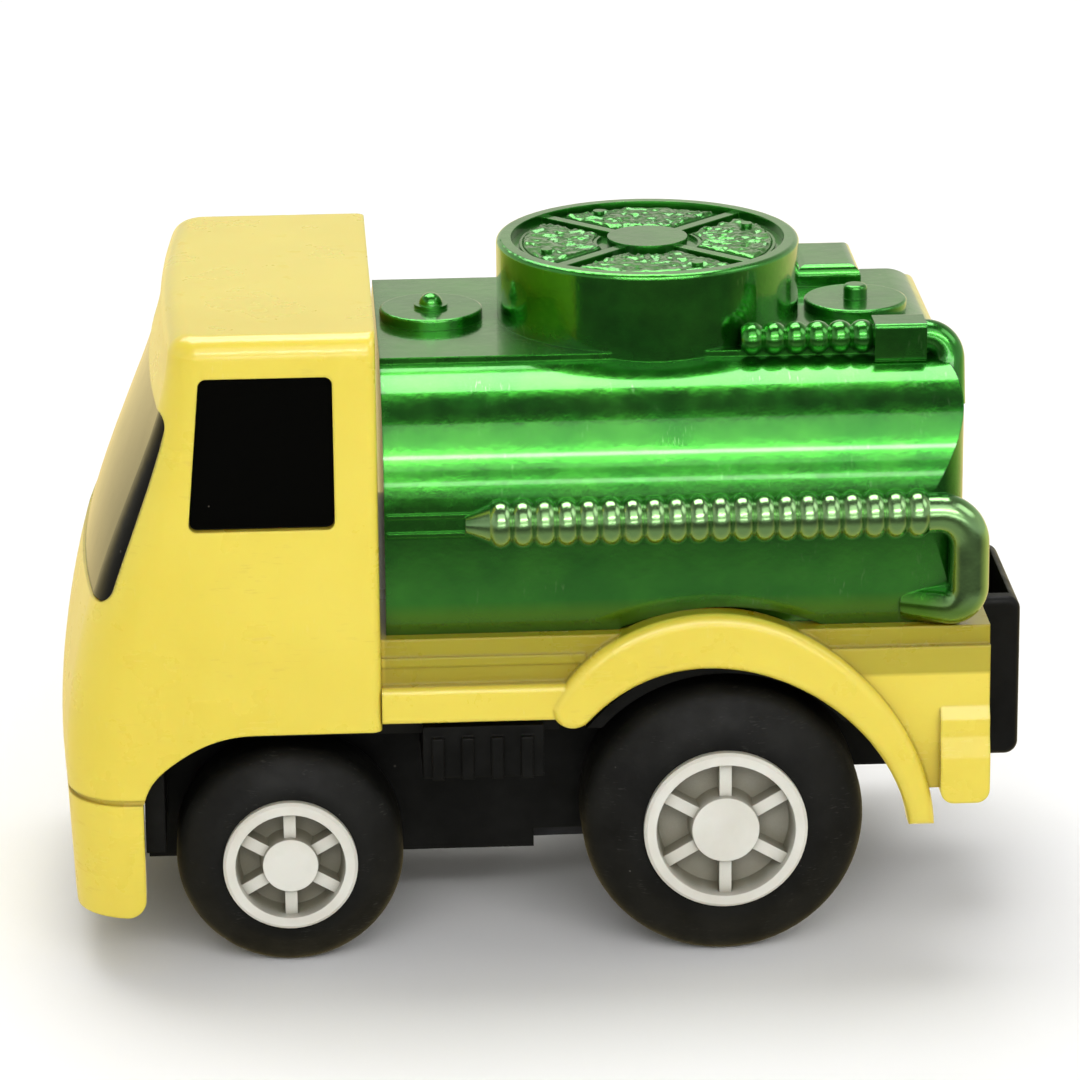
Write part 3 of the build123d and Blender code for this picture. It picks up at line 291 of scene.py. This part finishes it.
def tyre_rubber():
    """Soft black rubber, faintly greyed, with lint specks and fine grain."""
    n = Nodes("tyre_rubber")
    base = n.mix(n.ramp(n.noise(350.0, 5.0), 0.35, 0.7), (0.0045, 0.0045, 0.0038), (0.011, 0.011, 0.0095))
    rubbed = n.mix(n.math("MULTIPLY", n.scuffs(2400.0, 0.60, 0.68), 0.30), base, (0.07, 0.07, 0.06))
    lint = n.mix(n.math("MULTIPLY", n.specks(520.0, 0.07, 0.06), 0.85), rubbed, (0.50, 0.48, 0.42))
    fine = n.mix(n.math("MULTIPLY", n.specks(1500.0, 0.10, 0.05), 0.4), lint, (0.18, 0.17, 0.15))
    rough = n.ramp(n.noise(800.0, 4.0), 0.3, 0.7, 0.48, 0.66)
    grain = n.math("ADD", n.noise(2600.0, 4.0), n.math("MULTIPLY", n.noise(400.0, 3.0), 1.5))
    n.bump(grain, 0.04 * MM, 0.5)
    return n.set(Base_Color=fine, Roughness=rough, Specular_IOR_Level=0.2)


def hub_plastic():
    """Off-white moulded plastic, greyed between the spokes by grime and painted shade."""
    n = Nodes("hub_plastic")
    base = n.mix(n.ramp(n.noise(300.0, 4.0), 0.35, 0.65), (0.66, 0.64, 0.56), (0.74, 0.73, 0.66))
    # Grime and painted shade: the pockets between the spokes are darkened by ambient occlusion.
    grime_and_shade = n.mix(n.math("MULTIPLY", n.crevice(1.9 * MM, 0.30, 0.98), 0.92), base, (0.17, 0.155, 0.10))
    marks = n.mix(n.math("MULTIPLY", n.specks(800.0, 0.07, 0.10), 0.6), grime_and_shade, (0.16, 0.14, 0.10))
    rough = n.ramp(n.noise(700.0, 4.0), 0.3, 0.7, 0.34, 0.52)
    n.bump(n.noise(1800.0, 3.0), 0.02 * MM, 0.5, edge=0.08 * MM)
    return n.set(Base_Color=marks, Roughness=rough, Subsurface_Weight=0.08, Subsurface_Scale=0.8 * MM)


def gear_plastic():
    """White gear plastic with a film of grease, darker in its crevices with grease and painted shade."""
    n = Nodes("gear_plastic")
    base = n.mix(n.ramp(n.noise(500.0, 4.0), 0.35, 0.65), (0.76, 0.74, 0.66), (0.84, 0.83, 0.78))
    # Grease and painted shade: crevices are darkened by ambient occlusion.
    grease_and_shade = n.mix(n.math("MULTIPLY", n.crevice(0.6 * MM), 0.7), base, (0.42, 0.38, 0.24))
    rough = n.ramp(n.noise(900.0, 3.0), 0.35, 0.65, 0.18, 0.48)
    n.bump(n.noise(2400.0, 3.0), 0.02 * MM, 0.5, edge=0.05 * MM)
    return n.set(Base_Color=grease_and_shade, Roughness=rough)


def steel(name, tone, stain, roughness, lean):
    """Drawn or rolled steel with fine lines along it and a few stains."""
    n = Nodes(name)
    lines = n.noise(2600.0, 3.0, 0.6, n.stretched(*lean))
    base = n.mix(n.ramp(n.noise(400.0, 4.0), 0.45, 0.75), tone, stain)
    rough = n.ramp(lines, 0.3, 0.7, roughness, roughness + 0.18)
    n.bump(lines, 0.015 * MM, 0.6, edge=0.04 * MM)
    return n.set(Base_Color=base, Metallic=1.0, Roughness=rough)


def make_materials():
    """One material for each slot name in the record."""
    return {
        "yellow_plastic": yellow_plastic(),
        "green_plating": green_plating(),
        "window_black": window_black(),
        "black_plastic": black_plastic(),
        "motor_plastic": black_plastic("motor_plastic", (0.020, 0.020, 0.021), (0.040, 0.040, 0.042)),
        "tyre_rubber": tyre_rubber(),
        "hub_plastic": hub_plastic(),
        "gear_plastic": gear_plastic(),
        "axle_steel": steel("axle_steel", (0.60, 0.59, 0.57), (0.32, 0.27, 0.20), 0.22, (1.0, 0.05, 1.0)),
        "screw_steel": steel("screw_steel", (0.56, 0.56, 0.57), (0.40, 0.36, 0.30), 0.28, (1.0, 1.0, 0.1)),
        "spring_steel": steel("spring_steel", (0.30, 0.33, 0.40), (0.20, 0.18, 0.16), 0.25, (1.0, 0.2, 1.0)),
    }


def paint_nodes(materials):
    """Every CAD node takes the material of its slot in the record."""
    slots = {part["node"]: part["material_slot"] for part in frame["record"]["subparts"]}
    for name, node in frame["nodes"].items():
        material = materials[slots[name]]
        if not node.material_slots:
            node.data.materials.append(material)
        for place in node.material_slots:
            place.link = "OBJECT"
            place.material = material


# ---------------------------------------------------------------- floor and light
FLOOR_HALF = 3.0
WORLD_STRENGTH = 0.62
# name, azimuth, elevation, distance, width, height, watts
LIGHTS = (
    ("key", -4.0, 33.0, 0.55, 0.60, 0.030, 0.72),
    ("glow", -4.0, 42.0, 0.56, 0.60, 0.42, 0.95),
    ("low", -4.0, 10.0, 0.55, 0.60, 0.035, 0.32),
    ("top", 178.0, 74.0, 0.60, 0.50, 0.24, 1.85),
    ("back", 165.0, 50.0, 0.60, 0.50, 0.20, 0.9),
    ("nose", 75.0, 30.0, 0.60, 0.30, 0.30, 0.06),
    ("tail", -80.0, 40.0, 0.60, 0.30, 0.30, 0.4),
)
TINTS = {"key": (1.0, 0.99, 0.97)}
WHITE = (1.0, 1.0, 1.0)


def make_floor():
    """Pale paper under the truck, left out of its shine so that the dim studio shows there."""
    size = FLOOR_HALF
    mesh = bpy.data.meshes.new("floor")
    corners = [(-size, -size, 0), (size, -size, 0), (size, size, 0), (-size, size, 0)]
    mesh.from_pydata(corners, [], [(0, 1, 2, 3)])
    floor = bpy.data.objects.new("floor", mesh)
    scene.collection.objects.link(floor)
    n = Nodes("floor_paper")
    n.set(Base_Color=n.mix(n.noise(30.0, 2.0), (0.94, 0.94, 0.945), (0.96, 0.96, 0.965)), Roughness=0.9)
    mesh.materials.append(n.material)
    floor.visible_glossy = False


def soft_light(name, azimuth, elevation, distance, width, height, watts):
    """A softbox facing the truck."""
    data = bpy.data.lights.new(name, "AREA")
    data.shape = "RECTANGLE"
    data.size = width
    data.size_y = height
    data.energy = watts
    data.color = TINTS.get(name, WHITE)
    light = bpy.data.objects.new(name, data)
    scene.collection.objects.link(light)
    way = direction(azimuth, elevation)
    light.location = CAMERA_TARGET + way * distance
    light.rotation_mode = "QUATERNION"
    light.rotation_quaternion = way.to_track_quat("Z", "Y")


def make_world():
    """A pale studio, bright behind the truck and dim overhead and in front, which shows in its shine."""
    world = bpy.data.worlds.new("studio")
    scene.world = world
    world.use_nodes = True
    tree = world.node_tree
    place = tree.nodes.new("ShaderNodeTexCoord")
    split = tree.nodes.new("ShaderNodeSeparateXYZ")
    tree.links.new(place.outputs["Generated"], split.inputs[0])

    def ramp(axis, low, high):
        node = tree.nodes.new("ShaderNodeMapRange")
        tree.links.new(split.outputs[axis], node.inputs["Value"])
        node.inputs["From Min"].default_value = low
        node.inputs["From Max"].default_value = high
        return node.outputs["Result"]

    def blend(amount, a, b):
        node = tree.nodes.new("ShaderNodeMix")
        node.data_type = "RGBA"
        tree.links.new(amount, node.inputs[0])
        for socket, value in ((node.inputs[6], a), (node.inputs[7], b)):
            if isinstance(value, tuple):
                socket.default_value = (*value, 1.0)
            else:
                tree.links.new(value, socket)
        return node.outputs[2]

    in_front = blend(ramp("Z", 0.10, 0.80), (0.90, 0.90, 0.90), (0.16, 0.16, 0.17))
    behind = blend(ramp("Z", 0.25, 0.85), (1.05, 1.02, 0.86), (0.20, 0.20, 0.20))
    above = blend(ramp("Y", -0.45, 0.45), behind, in_front)
    far_floor = blend(ramp("Z", -0.30, -0.10), (1.45, 1.15, 0.50), (1.75, 1.50, 0.80))
    near_floor = blend(ramp("Z", -0.60, -0.30), (0.62, 0.62, 0.50), (0.15, 0.15, 0.13))
    below = blend(ramp("Y", -0.5, 0.5), far_floor, near_floor)
    background = tree.nodes["Background"]
    tree.links.new(blend(ramp("Z", -0.06, 0.0), below, above), background.inputs["Color"])
    background.inputs["Strength"].default_value = WORLD_STRENGTH


def make_light():
    """The dim studio and its softboxes."""
    make_world()
    for light in LIGHTS:
        soft_light(*light)


# ---------------------------------------------------------------- detail pieces
# The drum's top, in millimetres: its pads and rivets as the tank's CAD has them.
DRUM_X = -5.83
PAD_TOP = 34.48
RELIEF_INNER = 2.75
RELIEF_OUTER = 6.42
RELIEF_APEX = 1.12
RELIEF_LOW = 0.02
RELIEF_HIGH = 0.28
RELIEF_SUNK = 0.06
RELIEF_ROWS = 26
RELIEF_COLUMNS = 46
RIVET_RADIUS = 5.7
RIVET_TURN = 22.0
RIVET_GAP = 0.32
RIVET_FADE = 0.25
QUARTERS = (0, 90, 180, 270)


def relief_height(x, y):
    """Rough cast relief, 0 to 1, at a place in millimetres."""
    broad = noise.noise(Vector((x * 1.1, y * 1.9, 3.0)))
    ridges = 1.0 - abs(noise.noise(Vector((x * 1.7, y * 2.6, 11.0)))) * 2.6
    fine = noise.noise(Vector((x * 4.5, y * 5.5, 29.0)))
    return min(max(0.34 + 0.40 * broad + 0.30 * ridges + 0.16 * fine, 0.0), 1.0)


def relief_top(x, y, turn):
    """The relief's height above its pad, fading out round the rivet."""
    angle = math.radians(turn + RIVET_TURN)
    gap = math.hypot(x - RIVET_RADIUS * math.cos(angle), y - RIVET_RADIUS * math.sin(angle))
    clear = min(max((gap - RIVET_GAP) / RIVET_FADE, 0.0), 1.0)
    return RELIEF_LOW + (RELIEF_HIGH - RELIEF_LOW) * relief_height(x, y) * clear


def drum_relief(turn):
    """The rough relief on one quarter of the drum's top, closed underneath."""
    across, along = RELIEF_ROWS, RELIEF_COLUMNS
    mesh = bmesh.new()
    top, low = [], []
    for i in range(across + 1):
        radius = RELIEF_INNER + (RELIEF_OUTER - RELIEF_INNER) * i / across
        half = math.pi / 4 - math.asin(RELIEF_APEX / (radius * math.sqrt(2)))
        for j in range(along + 1):
            angle = math.radians(turn) + half * (2.0 * j / along - 1.0)
            x, y = radius * math.cos(angle), radius * math.sin(angle)
            edge = min(i, across - i, j, along - j)
            rise = relief_top(x, y, turn) if edge else RELIEF_LOW
            top.append(mesh.verts.new(Vector((DRUM_X + x, y, PAD_TOP + rise)) * MM))
            low.append(mesh.verts.new(Vector((DRUM_X + x, y, PAD_TOP - RELIEF_SUNK)) * MM))
    row = along + 1
    rim = ([j for j in range(along)] + [i * row + along for i in range(across)]
           + [across * row + along - j for j in range(along)] + [(across - i) * row for i in range(across)])
    for i in range(across):
        for j in range(along):
            k = i * row + j
            mesh.faces.new((top[k], top[k + row], top[k + row + 1], top[k + 1])).smooth = True
            mesh.faces.new((low[k], low[k + 1], low[k + row + 1], low[k + row]))
    for here, after in zip(rim, rim[1:] + rim[:1]):
        mesh.faces.new((low[here], top[here], top[after], low[after]))
    bmesh.ops.recalc_face_normals(mesh, faces=mesh.faces)
    data = bpy.data.meshes.new("drum_relief_%d" % turn)
    mesh.to_mesh(data)
    mesh.free()
    return data


def make_reliefs(material):
    """The four reliefs, riding on the truck and plated like the tank."""
    for turn in QUARTERS:
        mesh = drum_relief(turn)
        mesh.materials.append(material)
        piece = bpy.data.objects.new("drum_relief_%d" % turn, mesh)
        scene.collection.objects.link(piece)
        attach(piece, "truck")


# ---------------------------------------------------------------- build
materials = make_materials()
paint_nodes(materials)
make_reliefs(materials["green_plating"])
make_floor()
make_light()
make_camera()
scene.view_settings.view_transform = "Standard"
